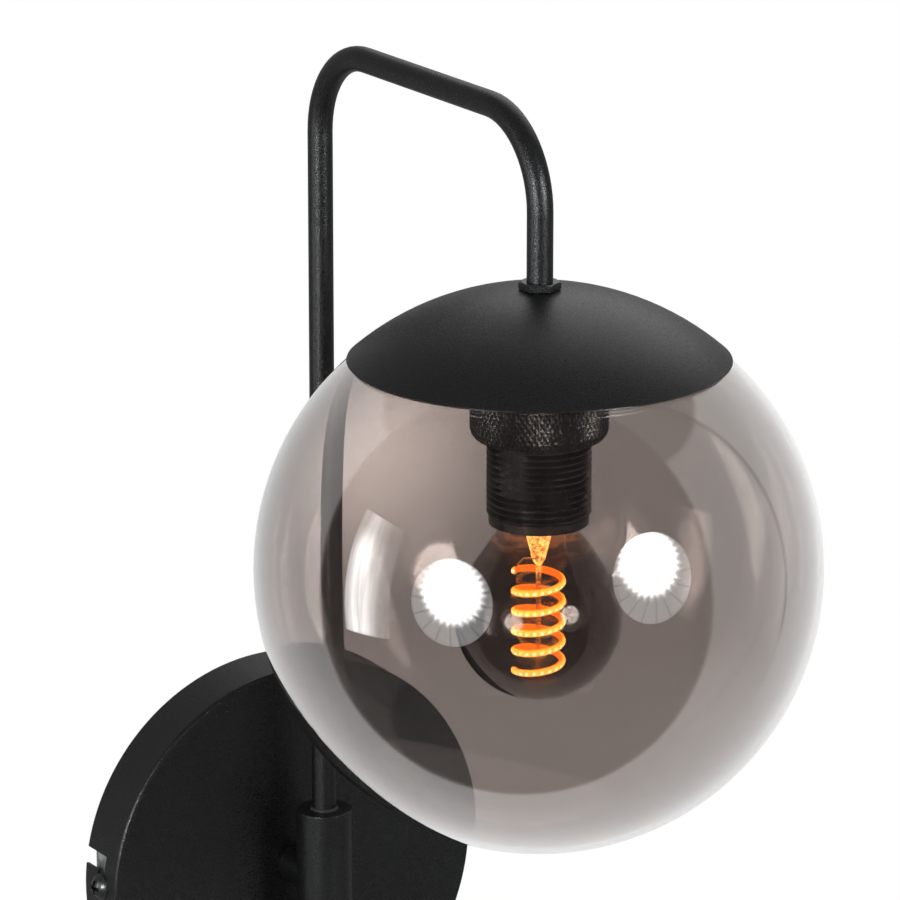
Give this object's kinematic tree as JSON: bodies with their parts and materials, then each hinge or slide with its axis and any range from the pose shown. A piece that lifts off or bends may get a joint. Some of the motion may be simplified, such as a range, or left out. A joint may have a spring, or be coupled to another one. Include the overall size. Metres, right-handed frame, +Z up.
{
  "type": "wall lamp",
  "caption": "Wall lamp: round wall plate, swivel sleeve and bent tube arm carrying a smoked glass globe under a domed cap, with a spiral filament bulb in a screw lampholder.",
  "frame": {"origin": "middle of the wall bracket's screw slots, on the wall plane", "axes": "+Z up, +Y into the wall, so the lamp stands out towards -Y; +X to the right as seen from the room"},
  "size_m": [0.216, 0.3165, 0.44],
  "materials": {
    "powder_black": "fine matte powder coat",
    "galvanised_steel": "zinc plated",
    "spring_steel": "bright rolled",
    "brass": "bright turned",
    "nickel_plate": "nickel plated",
    "holder_black": "satin moulded",
    "nylon_black": "satin",
    "terminal_white": "moulded",
    "cable_black": "smooth sheath",
    "wire_brown": "smooth insulation",
    "wire_earth": "smooth insulation",
    "smoked_glass": "polished, smoke tint",
    "bulb_smoke": "polished, smoke tint",
    "clear_glass": "polished",
    "lit_filament": "lit silicone strand",
    "black_vitrite": "fused, glossy",
    "circuit_board": "coated board"
  },
  "bodies": {
    "wall_mount": {"wall_plate": "powder_black", "wall_bracket": "galvanised_steel", "side_screws": "powder_black", "terminal_block": "terminal_white", "terminal_tubes": "brass", "terminal_screws": "galvanised_steel", "terminal_fixing": "galvanised_steel", "earth_screw": "brass", "earth_wire": "wire_earth", "feed_wires": "wire_brown", "feed_cable": "cable_black", "nipple": "galvanised_steel", "nipple_washer": "galvanised_steel", "nipple_nut": "galvanised_steel", "cable_bush": "nylon_black", "standoff": "powder_black", "arm_sleeve": "powder_black", "sleeve_plug": "powder_black", "swivel_bush": "nylon_black", "stop_screw": "galvanised_steel"},
    "arm": {"arm_tube": "powder_black", "arm_cable": "cable_black", "stop_collar": "galvanised_steel", "friction_washer": "nylon_black", "cap_nut": "powder_black", "globe_cap": "powder_black", "globe_spring": "spring_steel", "clamp_washer": "galvanised_steel", "clamp_nut": "galvanised_steel", "globe": "smoked_glass", "holder_cap": "holder_black", "holder_body": "holder_black", "shade_ring": "holder_black", "contact_block": "terminal_white", "screw_shell": "nickel_plate", "contact_spring": "spring_steel", "holder_terminals": "brass", "holder_terminal_screws": "galvanised_steel", "holder_leads": "wire_brown"},
    "contact": {"centre_contact": "brass"},
    "bulb": {"bulb_glass": "bulb_smoke", "bulb_cap": "nickel_plate", "bulb_insulator": "black_vitrite", "bulb_tip": "nickel_plate", "bulb_driver": "circuit_board", "filament_stem": "clear_glass", "filament": "lit_filament", "filament_leads": "nickel_plate"}
  },
  "joints": [
    {"name": "arm_swivel", "type": "hinge", "parent": "wall_mount", "child": "arm", "pos_m": [0, -0.0485, 0.0315], "axis": [0, 0, 1], "range_deg": [-60, 60]},
    {"name": "contact_travel", "type": "slide", "parent": "arm", "child": "contact", "axis": [0, 0, -1], "range_m": [0, 0.0028], "deforming": ["contact_spring"]},
    {"name": "bulb_turn", "type": "hinge", "parent": "contact", "child": "bulb", "pos_m": [0, -0.2085, 0.2], "axis": [0, 0, -1], "range_deg": [0, 270]}
  ],
  "couplings": [
    {"joint": "contact_travel", "follows": "bulb_turn", "m_per_rad": 0.00057757}
  ]
}
